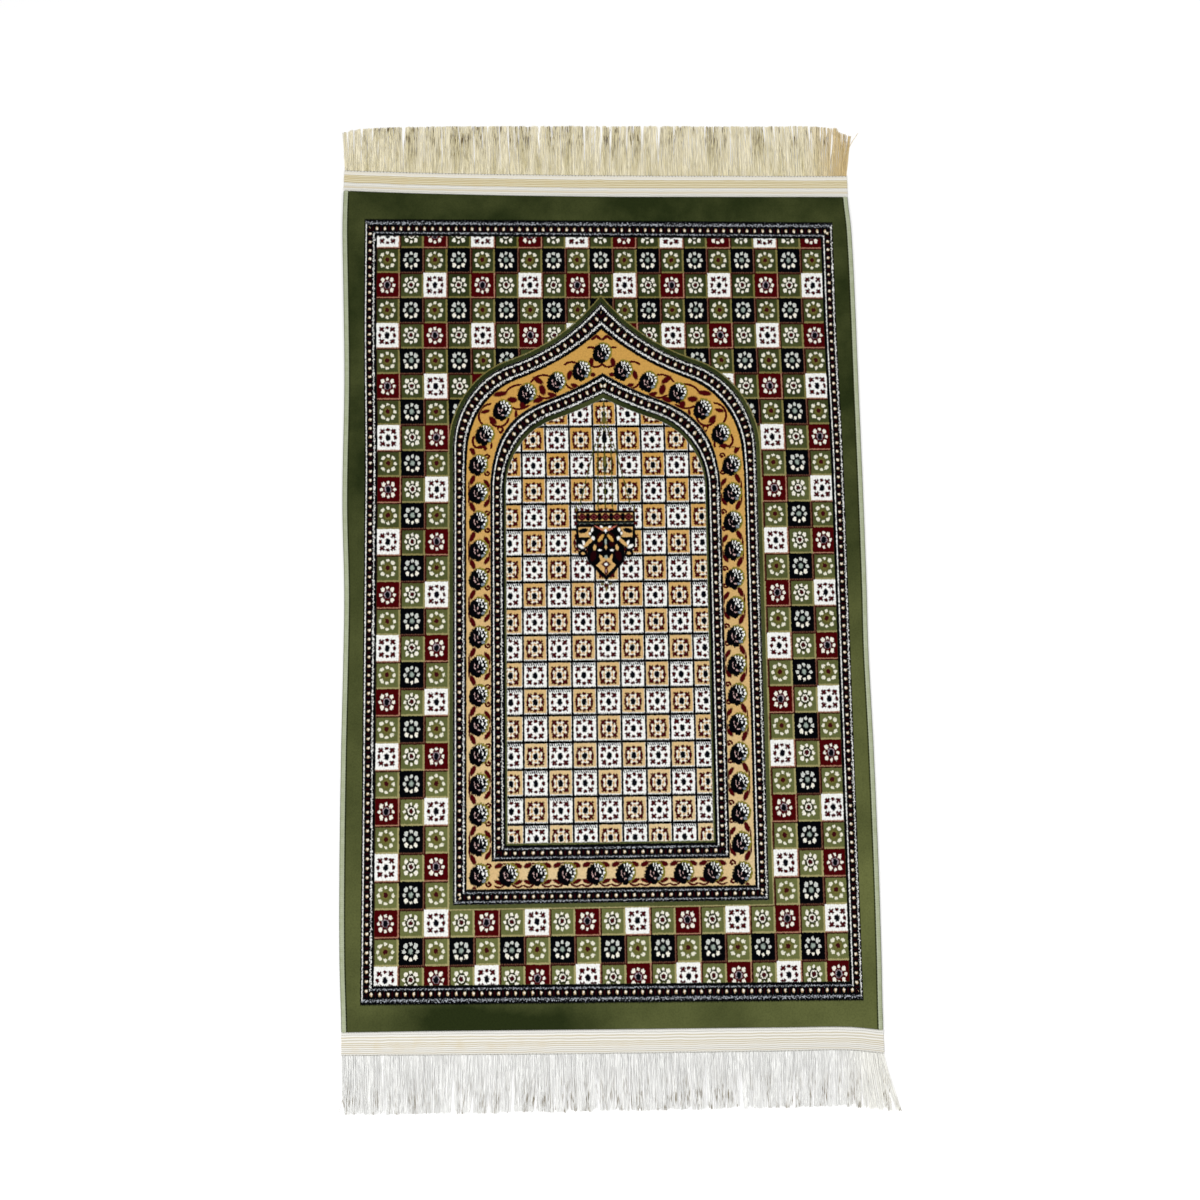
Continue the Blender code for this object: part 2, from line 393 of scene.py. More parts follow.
# depths inside the arch's outer edge: where the ground outside it ends, the gold, the stripe
# round the field and the field, and the middles of the guard stripes, first the rug's own
GROUND_END = -4.7
GOLD_START, GOLD_END = 17.5, 48.5
FIELD_STRIPE_END, FIELD_START = 67.0, 69.3
RUG_MIDDLE, BAND_MIDDLE, FIELD_MIDDLE = 7.5, 8.3, 57.7
# from the one outline to the other, depths count from BAND_START over BAND_WIDTH, wherever the
# two are LEAST_BAND or more apart
BAND_START, BAND_WIDTH, LEAST_BAND = 3.2, 60.8, 30.0
# half width and spring line of an outline, its first circle as x, y, radius and turn, and its
# second as x, y and radius, all with heights shrunk until the cells are nearly square
SHRINK, FOOT_SHRINK = 1 / 1.096, 0.914
OUTER_ARCH = (196.8, 178.3, (88.4, 178.3, 108.4, 72.7), (203.0, 546.0, 276.7))
INNER_ARCH = (136.0, 130.6, (39.9, 130.6, 96.1, 72.5), (224.7, 716.0, 517.7))
OUTER_FOOT, INNER_FOOT = 386.1, 319.6   # how far below the middle the outlines end
CURVE_INSET = 4.0           # the way round a curve is measured this far inside it


def dyed(red, green, blue):
    """A yarn's colour from how it looks in this light, as screen values of 0 to 255."""
    def linear(value):
        value /= 255.0
        return (value / 12.92 if value <= 0.04045 else ((value + 0.055) / 1.055) ** 2.4) / LIGHT
    return (linear(red), linear(green), linear(blue), 1.0)


# the pile's green where its painted sheen is least, and where it is most
DARK_GREEN = dyed(42, 50, 24)
LIGHT_GREEN = dyed(110, 115, 68)
OLIVE = dyed(118, 110, 58)
# the olive edging where its painted sheen is most
LIGHT_OLIVE = dyed(170, 162, 112)
DARK_OLIVE = dyed(100, 95, 44)
HEART_OLIVE = dyed(44, 46, 24)
RIM_OLIVE = dyed(126, 120, 44)
BLACK = dyed(5, 6, 9)
NAVY = dyed(18, 20, 34)
EYE_NAVY = dyed(8, 9, 16)
DARK_RED = dyed(66, 9, 14)
GUARD_RED = dyed(34, 5, 9)
LINE_RED = dyed(50, 16, 12)
RED = dyed(72, 6, 9)
VINE_RED = dyed(72, 8, 12)
CREAM = dyed(247, 243, 228)
PETAL_CREAM = dyed(238, 234, 214)
WHITE = dyed(252, 252, 248)
ICE = dyed(206, 211, 220)
TAN = dyed(190, 160, 120)
EYE_OLIVE = dyed(126, 116, 58)
EYE_RED = dyed(62, 16, 20)
GREY = dyed(158, 172, 162)
DULL_CREAM = dyed(208, 212, 206)
RED_GREY = dyed(182, 168, 176)
PINK = dyed(206, 172, 168)
SALMON = dyed(196, 112, 92)
BLUE_GREY = dyed(128, 140, 150)
BROWN = dyed(112, 74, 58)
PINK_TAN = dyed(170, 122, 98)
GOLD = dyed(212, 163, 84)
# the gold where its painted sheen is most
PALE_GOLD = dyed(228, 202, 154)
BAR_GOLD = dyed(204, 160, 98)
PEACH = dyed(218, 176, 112)
CHAIN = dyed(78, 80, 36)
STONE_RED = dyed(56, 10, 14)
FACET_RED = dyed(134, 60, 58)
SLATE = dyed(46, 58, 50)

# middle of the arch, where its roses start, and its roses: away from the middle, up
ARCH_MIDDLE = -2.5
ARCH_START = 198.0
ARCH_ROSES = ((155.8, 216.5), (132.5, 249.8), (100, 272.3), (61, 287.7), (27.5, 303.2),
              (0, 327.3))
# stems: middle, radius, aim, half turn; leaves: middle, half sizes, turn
ARCH_STEMS = (
    (147.5, 242, 16, 15, 75), (137, 240, 12.5, -100, 75), (135.5, 223.5, 3.6, 150, 150),
    (160.5, 208, 11, -45, 85), (161, 202, 14, 204, 38), (109.5, 262, 22, 61, 34),
    (111, 271, 19.9, -94, 40), (78, 278.5, 18.6, 71, 44), (75, 281, 15.5, -95, 48),
    (40.5, 302.5, 12.5, 120, 80), (37.5, 290.5, 12, -85, 62), (15.5, 322, 13, 135, 62),
    (8.5, 318.5, 10.5, -110, 55),
)
ARCH_LEAVES = (
    (155, 248, 5.5, 2.4, -15), (145, 236, 6, 3.2, 50), (135, 219.5, 1.8, 1.8),
    (160.5, 199.7, 6, 2.8, -12), (175, 195, 5, 2.6, -35), (135.5, 271.7, 8, 3.2, -8),
    (119.5, 263.5, 6, 3.8), (105.5, 256.7, 3.8, 4.8), (114.5, 244, 1.8, 5.5),
    (85, 290, 7, 3.2, 35), (79.5, 277, 3.8, 6.6, -15), (85.5, 263, 6.5, 3.3, -15),
    (66.5, 270, 6, 2.8, 25), (43.5, 297, 3, 6.2, 18), (36.5, 282.5, 5, 2.6, 20),
    (14.5, 314.5, 3, 5.6, 10), (12.5, 297.5, 3.2, 2.6), (4.6, 348.5, 5.6, 1.9, 38),
    (10.5, 348, 4.4, 1.9, -34),
)
# chains: from one place to another, away from the middle of the lamp and up
CHAINS = (
    (0, 262, 0, 118), (4, 232, 8.5, 204), (8.5, 204, 9.5, 116), (11.5, 204, 17.5, 184),
    (17.5, 184, 33, 122),
)
DIAMOND = "diamond"     # in place of an oval's turn
# the lamp: each yarn with the size of its shapes, its ovals and diamonds, and its blocks, as
# how far from the lamp's middle, how high up, half sizes, and an oval's turn or block's corner
LAMP = (
    (DARK_OLIVE, 2, ((0, 236, 3.6, 4.6), (0, 181, 2.6, 7.6), (38, 117, 1.2, 4))),
    (BLACK, 9, ((0, 50, 24.4, 14), (0, 40.3, 18.2, 19.4, DIAMOND), (31, 69.8, 7.8, 8.9)),
     (0, 105.9, 39, 8.3, 4), (0, 84, 38.8, 12.5, 2.5), (0, 62, 24.2, 12, 2)),
    (SLATE, 2, ((0, 169, 2.6, 3.2),), (0, 97.3, 37, 0.8, 0.8)),
    (WHITE, 1.6, ((32.2, 66.4, 4.2, 2.2, 28), (28.8, 71, 1.7, 3.6, -20))),
    (PEACH, 13, ((0, 41.4, 12.8, 13.2, DIAMOND),), (0, 85.4, 35.4, 6.6, 1)),
    (BLACK, 4, ((0, 212, 3.2, 8.4), (30, 57.2, 6.4, 5.4))),
    (PEACH, 2, ((22, 72.5, 2.3, 9.4, 45), (6.4, 51.2, 1.9, 4.4, -20), (14.6, 65, 2, 4, 8),
                (29.8, 57.4, 2.5, 1.8))),
    (BLACK, 3, ((29.4, 87.4, 6.3, 3.2, -14), (12.5, 84.2, 9.4, 8.8), (0, 79, 7, 10),
                (37, 80, 2.2, 6))),
    (GUARD_RED, 3, ((8.4, 80.5, 2.2, 5.4, 35), (8, 70, 3.8, 3.8), (16.6, 54, 3.8, 7.2, 14))),
    (GOLD, 2, ((6.2, 77.6, 2.3, 5.8, 36),)),
    (SALMON, 1.2, ((8, 90.4, 6.6, 1.1, 30),)),
    (WHITE, 1.5, ((17.6, 88.6, 1.6, 2.8, 14), (20.6, 83.6, 1.5, 2), (16.6, 77.4, 2.1, 2.6, -20),
                  (0, 87.2, 2.3, 2.9, DIAMOND), (5.4, 92.4, 2.2, 1.4, 20), (7.9, 61.4, 2.5, 1.3))),
    (GREY, 1.6, ((0, 72.2, 1.5, 4.2), (0, 52.2, 2.2, 2.5))),
    (PEACH, 1.8, ((0, 65.4, 2.2, 3.4, DIAMOND),)),
    (DARK_RED, 2, ((0, 42.6, 6.6, 5.8, DIAMOND), (0, 34, 2.5, 5.6), (0, 14.6, 3.2, 3))),
    (WHITE, 1.3, ((0, 42.8, 2.4, 1.7), (0, 19.2, 2.2, 1.2))),
    (PINK, 0.8, ((0, 34.2, 0.7, 2),)),
    (OLIVE, 1.2, ((0, 10.4, 1.5, 2.8), (5, 16.8, 2.6, 1.1, 20))),
)


def below(value, edge, soft=TUFT):
    """1 where the value is under the edge and 0 where it is over it."""
    return ease(value, edge - soft * 0.7, edge + soft * 0.7, 1, 0)


def above(value, edge, soft=TUFT):
    return ease(value, edge - soft * 0.7, edge + soft * 0.7)


def both(*masks):
    joint = masks[0]
    for mask in masks[1:]:
        joint = joint * mask
    return joint


def either(*masks):
    """1 where any of the masks is."""
    return most(*masks)


def flip(mask):
    return 1 - mask


def stripe(value, low, high, soft=TUFT):
    """1 between the two edges."""
    middle, half = (low + high) / 2, (high - low) / 2
    return below(size_of(value - middle), half, soft)


def oval_reach(spot, x, y, wide, tall, turn=0):
    """1 on the outline of an oval with half sizes wide and tall, and less inside it."""
    return measure("LENGTH", seen_from(spot, x, y, wide, tall, turn))


def diamond_reach(spot, x, y, wide, tall):
    return along(reckon_spot("ABSOLUTE", seen_from(spot, x, y, wide, tall)), 1, 1)


def lamp_reach(spot, x, y, wide, tall, turn=0):
    if turn == DIAMOND:
        return diamond_reach(spot, x, y, wide, tall)
    return oval_reach(spot, x, y, wide, tall, turn)


def patch(size, *reaches):
    """1 inside any of some shapes of about this half size."""
    return below(least(*reaches), 1, TUFT / size)


def ovals(spot, size, *shapes):
    return patch(size, *(oval_reach(spot, *shape) for shape in shapes))


def block(spot, x, y, wide, tall, corner=0.8):
    """1 inside a rectangle with half sizes wide and tall, and corners rounded off."""
    return below(past_block(seen_from(spot, x, y), wide - corner, tall - corner), corner)


def cross(spot, x, y, size):
    """A small X of tufts."""
    a, b = (size_of(part) for part in seen_parts(spot, x, y, 1, 1, 45))
    return both(below(least(a, b), 1.55), below(most(a, b), size))


def stem_reach(spot, x, y, radius, aim, half_turn, thick=1.3):
    """1 on the outline of part of a thin ring, as far as half_turn each side of its aim."""
    forward, _ = seen_parts(spot, x, y, 1, 1, aim)
    off_line = size_of(far_from(spot, x, y) - radius) * (1 / thick)
    return most(off_line, radius * math.cos(math.radians(half_turn)) + 1 - forward)


def cell_of(value, pitch, zero):
    """The number of the cell that holds a value and the place in it from its middle."""
    at = scaled(value, 1 / pitch, -zero / pitch)
    number = reckon("FLOOR", at)
    return number, scaled(at - number, pitch, -pitch / 2)


def is_odd(number):
    return reckon("FLOORED_MODULO", number, 2)


def arch_reach(place, x, y, half, spring, first, second):
    """How far inside one of the arch's outlines a place is, and how far along that outline.

    The outline goes straight up to the spring line, then round the first circle and then
    the other way along the second, up to the point. Circles are (x, y, radius, turn).
    """
    x1, y1, radius, turn = first
    x2, y2, far_radius = second
    turn = math.radians(turn)
    past = above((y - y1) * (x2 - x1) - (x - x1) * (y2 - y1), 0, 1)
    inner = radius - far_from(place, x1, y1)
    outer = far_from(place, x2, y2) - far_radius
    high = above(y, spring, 0.01)
    depth = blend(high, half - x, blend(past, inner, outer))
    round_first = reckon("ARCTAN2", y - y1, x - x1) * (radius - CURVE_INSET) + spring
    end_of_first = spring + (radius - CURVE_INSET) * turn
    round_second = (turn - reckon("ARCTAN2", y2 - y, x2 - x)) * far_radius + end_of_first
    travel = blend(high, y, blend(past, round_first, round_second))
    return depth, travel


def bands(x, y):
    """The depth inside the band of the arch, from its outer edge, the way along it, and
    where it is the arch's foot."""
    side = size_of(x)
    height = y * SHRINK
    place = spot_at(side, height)
    outer, outer_way = arch_reach(place, side, height, *OUTER_ARCH)
    foot = scaled(y, FOOT_SHRINK, OUTER_FOOT * FOOT_SHRINK)
    at_foot = above(outer - foot, 0, 0.01)
    outer = least(outer, foot)
    inner, inner_way = arch_reach(place, side, height, *INNER_ARCH)
    inner = least(inner, scaled(y, FOOT_SHRINK, INNER_FOOT * FOOT_SHRINK))
    share = least(most(outer / most(outer - inner, LEAST_BAND), 0), 1)
    depth = share * BAND_WIDTH + BAND_START + least(outer, 0) + most(inner, 0)
    inner_half = above(depth, (GOLD_START + GOLD_END) / 2, 0.01)
    way = blend(inner_half, outer_way, inner_way) * ARCH_STRETCH
    return depth, blend(at_foot, way, x), at_foot


def guard_stripes(pile, across, way, level, zone, frill):
    """A black stripe with a jagged white line each side of a row of small flowers."""
    jags, gaps = parts_of(frill)
    off = size_of(across) + jags * 1.9
    tufts = blend(level, ease(gaps, -0.3, 0, 0.3, 1), ease(gaps, -0.2, 0.2, 0.08, 0.75))
    lines = below(size_of(off - GUARD_LINE) - 0.68, 0) * tufts
    pile.dye(zone, BLACK)
    pile.dye(zone * lines, paint(WHITE, level, ICE))
    _, step = cell_of(way, GUARD_STEP, 0)
    here = spot_at(step, across)
    between = spot_at(5.8 - size_of(step), across)
    pile.dye(zone * ovals(between, 1.6, (0, 0, 1.3, 3)), GUARD_RED)
    pile.dye(zone * ovals(here, 2, (0, 0, 1.95, 2)), TAN)
    pile.dye(zone * ovals(here, 1.4, (0.3, 0.3, 1.35, 1.3)), CREAM)


def rosettes(pile, motif, zone, kinds, frill):
    """The eight-petalled flower in the middle of each cell."""
    motif = reckon_spot("MULTIPLY_ADD", frill, (0.7, 0.7, 0), motif)
    olive, black, heart, red, white, gold = kinds
    light = either(white, gold)
    x, y = parts_of(motif)
    side = size_of(x)
    quarter = spot_at(side, size_of(y + 0.45))
    reach = far_from(spot_at(side, y * 0.88), 0, 0)

    def dye(kind, mask, yarn):
        pile.dye(both(zone, kind, mask), yarn)

    # what lies inside the ring of petals
    pile.dye(both(zone, olive, below(reach, 6.8, 2.4)) * 0.6, DARK_OLIVE)
    dye(heart, below(reach, 7, 2), HEART_OLIVE)
    dye(gold, below(reach, 9, 1.2), CREAM)
    bars = ovals(quarter, 1.3, (0, 5.9, 2, 1.2), (5.3, 0, 1.2, 3), (4.4, 5, 1.7, 1.1, -45))
    dye(gold, bars, BAR_GOLD)
    # petals
    wide_petals = ovals(quarter, 2.4, (0, 10.1, 2.1, 2), (9.2, 0, 2, 2.5),
                        (6.6, 7.3, 2.9, 2.3, -45))
    upright = ovals(quarter, 2, (0, 9.5, 1.8, 2.1))
    level = ovals(quarter, 2.2, (8.6, 0, 2, 2.2))
    slanting = ovals(quarter, 3, (6.1, 7, 2.4, 3.1))
    narrow_petals = either(upright, level, slanting)
    dye(olive, wide_petals, PETAL_CREAM)
    dye(either(heart, red, black), narrow_petals, CREAM)
    faint = both(black, either(level, upright, slanting * above(y, 0)), above(y, -4))
    pile.dye(both(zone, faint), DULL_CREAM)
    marks = either(ovals(quarter, 2, (0, 10.5, 2.6, 2.2), (9.6, 0.2, 2.1, 3)),
                   cross(quarter, 7.2, 8.3, 3.9),
                   gold * ovals(quarter, 1.9, (7.2, 8.6, 2.4, 2.1), (10, 3, 1.3, 2.4)))
    dye(light, marks, DARK_RED)
    # the eye
    rim, core = below(reach, 4.4), below(reach, 2.9)
    pile.dye(both(zone, olive, below(reach, 4, 1.8)) * 0.7, EYE_OLIVE)
    dye(heart, rim, CREAM)
    dye(red, rim, RED_GREY)
    dye(black, below(reach, 2.7, 1.6), GREY)
    dye(either(olive, heart), core, EYE_RED)
    dye(either(light, red), ovals(quarter, 2.8, (0, 0, 3.3, 4.6)), EYE_NAVY)


def outer_cells(x, y):
    """The kind of each cell of the chequered ground round the arch and the place in the cell."""
    column, u = cell_of(x, COLUMN, 1.3 - 9.5 * COLUMN)
    row, v = cell_of(OUTER_TOP - y, ROW, 0)
    odd_column, odd_row = is_odd(column), is_odd(row)
    # rows of olive flowers and black cells take turns with rows of hearts, red and white cells
    olive = odd_row * flip(odd_column)
    black = odd_row * odd_column
    even_row = flip(odd_row)
    heart = even_row * odd_column
    plain = even_row * flip(odd_column)
    turn = above(is_odd((column + row) * 0.5), 0.5, 0.1)
    return (olive, black, heart, plain * turn, plain * flip(turn)), u, v * -1


def outer_ground(pile, kinds, u, v, yarns, zone):
    """Chequered ground round the arch, with a fine edging to each cell."""
    olive, black, heart, red, white = kinds
    cell_green, edging = yarns
    green = zone * (olive + heart)
    light = zone * (red + white)
    black = zone * black
    pile.dye(green, cell_green)
    pile.dye(black, BLACK)
    pile.dye(zone * red, RED)
    pile.dye(zone * white, WHITE)
    low_or_right = most(u - 13.35, -15.05 - v)
    pile.dye(green * above(low_or_right, 0), edging)
    pile.dye(light * above(low_or_right, 0.8), PINK_TAN)
    dashes = above(swing(u, 1.15), 0.4, 0.5)
    pile.dye(black * above(low_or_right, 0.9) * either(dashes, above(u, 14)), BROWN)
    pile.dye(green * above(most(-14 - u, v - 15.5), 0), LINE_RED)


def inner_cells(x, y):
    """Which cells under the arch are gold and the place in the cell."""
    column, u = cell_of(x, INNER_COLUMN, 0.25 - INNER_COLUMN / 2)
    row, v = cell_of(y, INNER_ROW, 227)
    return flip(is_odd(column + row)), u, v


def inner_ground(pile, gold, gold_yarn, u, v, teeth, zone):
    """White and gold cells under the arch, between black lines toothed by the tufts."""
    pile.dye(zone, WHITE)
    inside = below(most(size_of(u + 0.2) - 14.1, size_of(v - 0.9) - 15.3), 0)
    pile.dye(both(zone, gold, inside), gold_yarn)
    # the line above a white cell is frayed downwards
    slant = swing(u + v * 0.45, 1.4)
    frayed = both(flip(gold), above(v, 11.9), above(slant, 0.6, 0.6), below(size_of(u), 14.2))
    pile.dye(zone * frayed, NAVY)
    lines = either(above(size_of(u), 14.35), above(size_of(v) - teeth * 0.9, 15))
    pile.dye(zone * lines, BLACK)


def rose_places(x, y):
    """The place from the middle of the nearest rose of the gold band."""
    right = above(x, 0, 0.01)
    column_x = x - blend(right, LEFT_ROSES, RIGHT_ROSES)
    _, column_y = cell_of(y + right * 2.2, ROSE_STEP, FOOT_ROSES - ROSE_STEP / 2)
    _, row_x = cell_of(x, FOOT_STEP, LEFT_ROSES - FOOT_STEP / 2)
    at_foot = above(least(-333 - y, 148 - size_of(x)), 0, 0.01)
    away = size_of(x - ARCH_MIDDLE)
    place = spot_at(away, y)
    rose_x, rose_y = ARCH_ROSES[0]
    nearest = far_from(place, rose_x, rose_y)
    centre = (rose_x, rose_y, 0)
    for rose_x, rose_y in ARCH_ROSES[1:]:
        reach = far_from(place, rose_x, rose_y)
        centre = blend_spot(reckon("LESS_THAN", reach, nearest), centre, (rose_x, rose_y, 0))
        nearest = least(reach, nearest)
    centre_x, centre_y = parts_of(centre)
    arch_x = x - ARCH_MIDDLE - centre_x * reckon("SIGN", x - ARCH_MIDDLE)
    in_arch = above(y, ARCH_START, 0.01)
    local = blend_spot(at_foot, spot_at(column_x, column_y), spot_at(row_x, y - FOOT_ROSES))
    return blend_spot(in_arch, local, spot_at(arch_x, y - centre_y)), at_foot, in_arch, away


def roses(pile, local, zone, frill):
    """Dark roses lit from the upper right."""
    local = reckon_spot("ADD", local, frill)
    rim = both(ovals(local, 8, (1.2, 1.2, 12.2, 13.6)), above(parts_of(local)[0], -4, 3))
    pile.dye(zone * rim, RIM_OLIVE)
    head = ovals(local, 6, (-1, 0, 11, 12.4), (-5.6, -3.2, 7.2, 9.4), (-0.6, -10.6, 4.4, 4.4))
    pile.dye(zone * head, BLACK)
    petals = ovals(local, 1.5, (-1.2, 10, 0.8, 2.3), (2.2, 10.2, 1, 2.3), (6.2, 9, 1.6, 1.4, 40),
                   (9.2, 5.4, 1.7, 1.2, 20), (9.9, 0.8, 1.4, 1.9), (7.8, -3.4, 1.6, 1.1, -30),
                   (5, 1.6, 1.2, 1.7), (3.9, 6, 0.8, 2, 20), (0.8, 4.8, 0.7, 2.4))
    pile.dye(zone * petals, WHITE)
    pile.dye(zone * ovals(local, 2, (5.8, -7.2, 2.2, 1.9)), BLUE_GREY)
    veins = ovals(local, 1.1, (-5.2, 1.2, 0.6, 2.2), (-4.4, -3.2, 0.7, 2, 35),
                  (0.4, -6.8, 1.8, 0.9), (-1, -0.6, 0.6, 1.8))
    pile.dye(zone * veins, PINK)


def vine(*reaches):
    """1 on any of some leaves and stems, a little fuller than they are drawn."""
    return below(least(*reaches), 1.15, TUFT / 2)


def side_vine(local, y, right):
    """Leaves and stems beside the roses of the two long bands."""
    x, _ = parts_of(local)
    out = x * scaled(right, 2, -1)
    place = spot_at(out, swing(y - 100.3, ROSE_STEP))
    leaves = ((7.6, 19.8, 2.8, 6.4, -24), (12.2, 33, 1, 9.5), (-11.2, 24.8, 2.5, 5.6, 34),
              (-14.2, 32, 0.9, 3.4), (-12.6, 9.6, 1.9, 1.7))
    return vine(*(oval_reach(place, *leaf) for leaf in leaves),
                stem_reach(place, -11.8, 10.8, 3, 80, 110, 1.1))


def foot_vine(x, y):
    """Leaves and stems between the roses of the short band."""
    _, across = cell_of(x, FOOT_STEP, LEFT_ROSES)
    place = spot_at(size_of(across), y)
    leaves = (6.2, -341.8, 4.8, 2.8, 22), (6.2, -362.6, 5.4, 2.3, -24), (14, -339.4, 4, 0.8)
    return vine(*(oval_reach(place, *leaf) for leaf in leaves),
                stem_reach(place, 6.6, -360.5, 8.2, -80, 56, 1.1))


def arch_vine(away, y):
    """Stems that wind round the roses of the arch, with their leaves."""
    place = spot_at(away, y)
    return vine(*(stem_reach(place, *stem) for stem in ARCH_STEMS),
                *(oval_reach(place, *leaf) for leaf in ARCH_LEAVES))


def rod_reach(spot, x0, y0, x1, y1):
    """The distance from a straight line between two places."""
    turn = math.degrees(math.atan2(y1 - y0, x1 - x0))
    local = seen_from(spot, (x0 + x1) / 2, (y0 + y1) / 2, turn=turn)
    return past_block(local, math.hypot(x1 - x0, y1 - y0) / 2, 0)


def lamp(pile, x, y):
    """A hanging lamp under the point of the arch, on five chains."""
    x = x + 1
    place = spot_at(size_of(x), y)
    nearest = least(*(rod_reach(place, *line) for line in CHAINS))
    links = ease(swing(y, 3.1), 0.4, 1.6, 0.35, 1)
    pile.dye(below(nearest, links), CHAIN)
    for yarn, size, shapes, *blocks in LAMP:
        mark = patch(size, *(lamp_reach(place, *shape) for shape in shapes))
        pile.dye(either(mark, *(block(place, *values) for values in blocks)), yarn)
    # five stones in the collar
    across = size_of(reckon("WRAP", x, 7.6, -7.6))
    stones = spot_at(across, y)
    collar = block(place, 0, 105.6, 36.2, 5, 1.5)
    pile.dye(collar, PEACH)
    between = patch(2.6, oval_reach(stones, 7.6, 105.6, 3.2, 5.8))
    pile.dye(collar * between, BLACK)
    stone = diamond_reach(stones, 0, 105.6, 6.8, 6.4)
    pile.dye(collar * below(stone, 1, 0.2), STONE_RED)
    pile.dye(collar * stripe(stone, 0.38, 0.50, 0.14), FACET_RED)


def pile_pattern(spot):
    """The colour of the pile: borders, grounds, arch, roses and lamp, with painted sheen and shade.
    """
    fuzz = cloudy_spot(spot, 0.42, amount=1.7)
    patches = cloudy(spot, 0.009, 4, 0.62)
    grain, _ = parts_of(fuzz)
    spot = reckon_spot("ADD", spot, fuzz)
    x, y = parts_of(spot)
    teeth = swing(x, 1.135)
    y = y + teeth * 0.8 - 0.45

    # painted sheen and shade from how the pile lies and how the light falls: lighter where it leans
    # away, mostly towards the near end
    shade = scaled(patches, 0.9, -0.45)
    pile_sheen = ease(y, 350, -500, 0.12, 0.56) + shade
    pile_sheen = pile_sheen + ease(x, 120, 330) * ease(y, 90, -20, 0, 0.26)
    pile_sheen = pile_sheen - ease(oval_reach(spot, -170, -545, 165, 44), 0.3, 1.4, 0.62, 0)
    green = paint(DARK_GREEN, most(pile_sheen, 0), LIGHT_GREEN)
    # the cells' greens and olives carry the same painted sheen and shade, stronger towards the near
    # end
    cell_sheen = ease(y, 480, -430, 0.14, 0.92) + shade
    cell_green = paint(DARK_GREEN, cell_sheen, LIGHT_GREEN)
    edging = paint(OLIVE, cell_sheen, LIGHT_OLIVE)
    # painted sheen on the gold as well: paler towards the near end, in soft patches
    gold_sheen = ease(y, 250, -330) * scaled(patches, 1.2, 0.3)
    gold_yarn = paint(GOLD, gold_sheen, PALE_GOLD)

    # outer guard stripe and the depth inside it; towards the far end all leans to the left
    straight_x = x - ease(y, 150, 390, 0, -3)
    side = HALF_WIDTH - size_of(straight_x)
    level_y = y + x * 0.0083 + ease(y, -500, 500, -0.3, 1.8)
    end = HALF_LENGTH - size_of(level_y)
    end = most(end * 0.4, end * 0.667 - 1.47, end * 0.9 - 4.5)
    rim = least(side, end)
    at_end = above(side - end, 0, 0.01)
    depth, way, at_foot = bands(straight_x, y)

    ground = above(rim, GUARD_WIDTH)
    outer = ground * below(depth, GROUND_END)
    thin = ease(y, 150, 260, 0, 1.7)      # the stripes are thinner over the arch
    inner = above(depth - thin, FIELD_START)
    kinds, u, v = outer_cells(straight_x, y + x * 0.0033)
    pile = Coat(green)
    outer_ground(pile, kinds, u, v, (cell_green, edging), outer)
    outer_motif = spot_at(u + 0.8, v - 0.9)
    gold, u, v = inner_cells(straight_x, y)
    inner_ground(pile, gold, gold_yarn, u, v, teeth, inner)
    motif = blend_spot(inner, outer_motif, spot_at(u + 0.5, v + 0.3))
    outside = flip(inner)
    olive, black, heart, red, white = (outside * kind for kind in kinds)
    white = either(white, inner * flip(gold))
    rosettes(pile, motif, either(outer, inner),
             (olive, black, heart, red, white, inner * gold), fuzz)
    pile.dye(stripe(depth, -6, -4.6), edging)

    # the three guard stripes
    round_rug = stripe(rim, 0, GUARD_WIDTH)
    round_band = stripe(depth, 0, GOLD_START)
    round_field = both(above(depth, GOLD_END), below(depth + thin, FIELD_STRIPE_END))
    guard_across = blend(round_band, rim - RUG_MIDDLE, depth - BAND_MIDDLE)
    guard_across = blend(round_field, guard_across, depth - FIELD_MIDDLE)
    guard_way = blend(ground, blend(at_end, y, x * END_STRETCH), way)
    guard_stripes(pile, guard_across, guard_way, blend(ground, at_end, at_foot),
                  either(round_rug, round_band, round_field), fuzz)

    # roses and vine on gold
    band = stripe(depth, GOLD_START, GOLD_END)
    pile.dye(band, gold_yarn)
    local, row_foot, in_arch, away = rose_places(x, y)
    leafy = blend(row_foot, side_vine(local, y, above(x, 0, 0.01)), foot_vine(x, y))
    leafy = blend(in_arch, leafy, arch_vine(away, y))
    pile.dye(band * leafy, VINE_RED)
    roses(pile, local, band, fuzz)
    lamp(pile, x, y)
    pile.dye(scaled(grain, 0.25, 0.06), BLACK)
    return pile.colour


# ---- Finishes

def new_finish(name, colour, roughness, shine=0.2):
    """A new material with one shader, whose node tree is filled next."""
    global tree
    finish = bpy.data.materials.new(name)
    finish.use_nodes = True
    tree = finish.node_tree
    shader = tree.nodes["Principled BSDF"]
    shader.inputs["Base Color"].default_value = colour
    shader.inputs["Roughness"].default_value = roughness
    shader.inputs["Specular IOR Level"].default_value = shine
    return finish, shader


def surface_share():
    """The place on the piece's own grid: across and along it, each from 0 to 1."""
    share = Spot(add_node("UVMap", uv_map="UVMap").outputs["UV"])
    return reckon_spot("MULTIPLY_ADD", share, (1.0, 1.0, 0.0), (0.0, 0.0, 1.0))


def roughen(shader, scale, height):
    """Small unevenness of yarn: height in millimetres, in patches of about 1 / scale."""
    place = Spot(add_node("TexCoord").outputs["Object"])
    uneven = noise(place, scale / MM, 1.0, dimensions="3D")
    bump = add_node("Bump")
    bump.inputs["Strength"].default_value = 1.0
    bump.inputs["Distance"].default_value = height * MM
    feed(bump.inputs["Height"], Num(uneven.outputs["Fac"]))
    feed(shader.inputs["Normal"], Num(bump.outputs["Normal"]))


def pile_finish():
    """Cut pile: the pattern, with the tufts' ends as fine unevenness."""
    finish, shader = new_finish("cut_pile", DARK_GREEN, 0.95, shine=0.0)
    feed(shader.inputs["Base Color"], pile_pattern(surface_spot()))
    roughen(shader, 0.75, 0.55)
    return finish


